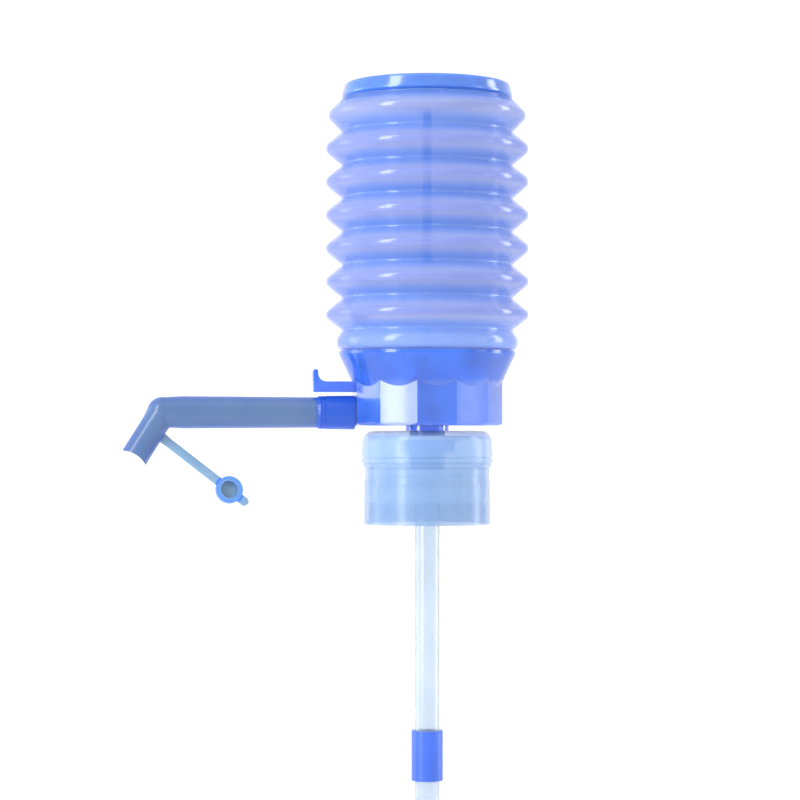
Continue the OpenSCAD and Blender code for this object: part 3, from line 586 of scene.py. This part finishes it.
# Only the pleats squash. The neck goes down with the cap, and the foot stays in the housing.
for name, outline, body in (("bellows_pleats", pleats, "pump_body"),
                            ("bellows_neck", neck_outline, "press"),
                            ("bellows_foot", foot_outline, "pump_body")):
    part = piece(name, lathe(name, outline), "bellows")
    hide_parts("bellows")
    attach(part, body)
    if name == "bellows_pleats":
        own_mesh(part)

# ------------------------------------------------------------------ the strap

STRAP_SINK, STRAP_OVERLAP = 1.5, 0.2  # millimetres into the leg's wall and into the cap's rim
ROOT_SHARE, ROOT_WIDER, ROOT_THICKER = 0.12, 0.12, 0.35
SIDE_CURVE, FACE_CURVE = 0.35, 0.6  # powers that flatten a circle into the strap's section
RINGS, CORNERS = 46, 16


def strap_mesh():
    """Flat strap with rounded edges, from just inside the leg's wall to the dust cap's rim."""
    length = STRAP_L - DUST_RIM_R + STRAP_OVERLAP + STRAP_SINK
    work = bmesh.new()
    rings = []
    for i in range(RINGS + 1):
        share = i / RINGS
        root = 1 - min(1.0, share / ROOT_SHARE)
        half_w = STRAP_W / 2 * (1 + ROOT_WIDER * root)
        half_t = STRAP_T / 2 * (1 + ROOT_THICKER * root)
        ring = []
        for k in range(CORNERS):
            c, s = math.cos(2 * math.pi * k / CORNERS), math.sin(2 * math.pi * k / CORNERS)
            point = Vector((half_w * math.copysign(abs(c) ** SIDE_CURVE, c),
                            half_t * math.copysign(abs(s) ** FACE_CURVE, s),
                            length * share - STRAP_SINK))
            ring.append(work.verts.new((strap_start + strap_turn @ point) * MM))
        rings.append(ring)
    for first, second in zip(rings, rings[1:]):
        for k in range(CORNERS):
            after = (k + 1) % CORNERS
            work.faces.new((first[k], first[after], second[after], second[k]))
    work.faces.new(rings[0][::-1])
    work.faces.new(rings[-1])
    mesh = bpy.data.meshes.new("strap_band")
    work.to_mesh(mesh)
    work.free()
    return outward(mesh)


strap = piece("strap_band", strap_mesh(), "dust_cap")
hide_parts("strap")
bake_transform(strap)

# ----------------------------------------------------------------- the thread

# Millimetres and counts
STUB_R, STUB_LOW_Z, STUB_HIGH_Z = 8.5, -13.6, -6.3
THREAD_PITCH, THREAD_H = 2.0, 0.4
STEPS_PER_TURN, SECTION_SIDES = 72, 6


def screw_thread():
    """Geometry Nodes: a spiral swept with a six-sided section, as a plain mesh."""
    tree, given, (turns, radius) = shaping_tree("stub_thread", "NodeSocketFloat", "Turns", "Radius")
    spiral = tree.nodes.new("GeometryNodeCurveSpiral")
    section = tree.nodes.new("GeometryNodeCurvePrimitiveCircle")
    sweep = tree.nodes.new("GeometryNodeCurveToMesh")
    move = tree.nodes.new("GeometryNodeTransform")
    spiral.inputs["Resolution"].default_value = STEPS_PER_TURN
    spiral.inputs["Height"].default_value = (STUB_HIGH_Z - STUB_LOW_Z) * MM
    section.inputs["Resolution"].default_value = SECTION_SIDES
    section.inputs["Radius"].default_value = THREAD_H * MM
    sweep.inputs["Fill Caps"].default_value = True
    move.inputs["Translation"].default_value = (0.0, 0.0, STUB_LOW_Z * MM)
    tree.links.new(given.outputs["Turns"], spiral.inputs["Rotations"])
    tree.links.new(given.outputs["Radius"], spiral.inputs["Start Radius"])
    tree.links.new(given.outputs["Radius"], spiral.inputs["End Radius"])
    tree.links.new(spiral.outputs["Curve"], sweep.inputs["Curve"])
    tree.links.new(section.outputs["Curve"], sweep.inputs["Profile Curve"])
    tree.links.new(sweep.outputs["Mesh"], move.inputs["Geometry"])
    sizes = {turns: (STUB_HIGH_Z - STUB_LOW_Z) / THREAD_PITCH, radius: STUB_R * MM}
    return shaped(bpy.data.meshes.new("thread_source"), tree, move, "housing", sizes)


thread = piece("stub_thread", screw_thread(), "housing")
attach(thread, "pump_body")

# ----------------------------------------------------------------- the studio

# Metres: the floor's height and half width, and the curve in which it rises behind the pump
FLOOR_Z, FLOOR_HALF = -0.4525, 14.0
CURVE_Y, CURVE_R, CURVE_STEPS, WALL_TOP = 1.4, 1.2, 15, 4.0

# Azimuth 0 is in front of the pump and 90 is at its right. Name: azimuth, height, distance from
# the axis, width, length, power
SOFTBOXES = {
    "left_box": (-55.4, 0.5, 1.3, 0.36, 1.6, 17),
    "right_box": (95, 0.25, 1.4, 0.36, 1.2, 9),
    "right_fill": (66, 0.10, 1.4, 0.34, 0.9, 1.6),
    "left_fill": (-113, 0.10, 1.4, 0.5, 0.9, 3.5),
    "top_box": (0, 1.6, 0.7, 1.2, 1.2, 4),
}
LIT_POINT = Vector((0, 0, 0.06))
WORLD_WHITE, WORLD_STRENGTH = (1.0, 1.0, 1.0, 1.0), 0.97


def sweep_floor():
    """Pale floor that rises in a soft curve behind the pump."""
    profile = [(-FLOOR_HALF, 0.0), (CURVE_Y, 0.0)]
    for k in range(1, CURVE_STEPS + 1):
        a = math.radians(90 / CURVE_STEPS * k)
        profile.append((CURVE_Y + CURVE_R * math.sin(a), CURVE_R - CURVE_R * math.cos(a)))
    profile.append((CURVE_Y + CURVE_R, WALL_TOP))
    verts = [(x, y, FLOOR_Z + z) for y, z in profile for x in (-FLOOR_HALF, FLOOR_HALF)]
    faces = [(2 * i, 2 * i + 1, 2 * i + 3, 2 * i + 2) for i in range(len(profile) - 1)]
    mesh = bpy.data.meshes.new("floor")
    mesh.from_pydata(verts, [], faces)
    return mesh


def softbox(name, azimuth, height, away, width, tall, power):
    """Area light that looks at the pump."""
    light = bpy.data.lights.new(name, "AREA")
    light.shape, light.size, light.size_y = "RECTANGLE", width, tall
    light.energy = power
    made = bpy.data.objects.new(name, light)
    a = math.radians(azimuth)
    made.location = (math.sin(a) * away, -math.cos(a) * away, height)
    made.rotation_euler = (LIT_POINT - made.location).to_track_quat("-Z", "Y").to_euler()
    bpy.context.scene.collection.objects.link(made)


piece("studio_floor", sweep_floor(), "floor")
for name, settings in SOFTBOXES.items():
    softbox(name, *settings)
world = bpy.data.worlds.new("studio")
bpy.context.scene.world = world
world.use_nodes = True
background = world.node_tree.nodes["Background"]
background.inputs["Color"].default_value = WORLD_WHITE
background.inputs["Strength"].default_value = WORLD_STRENGTH
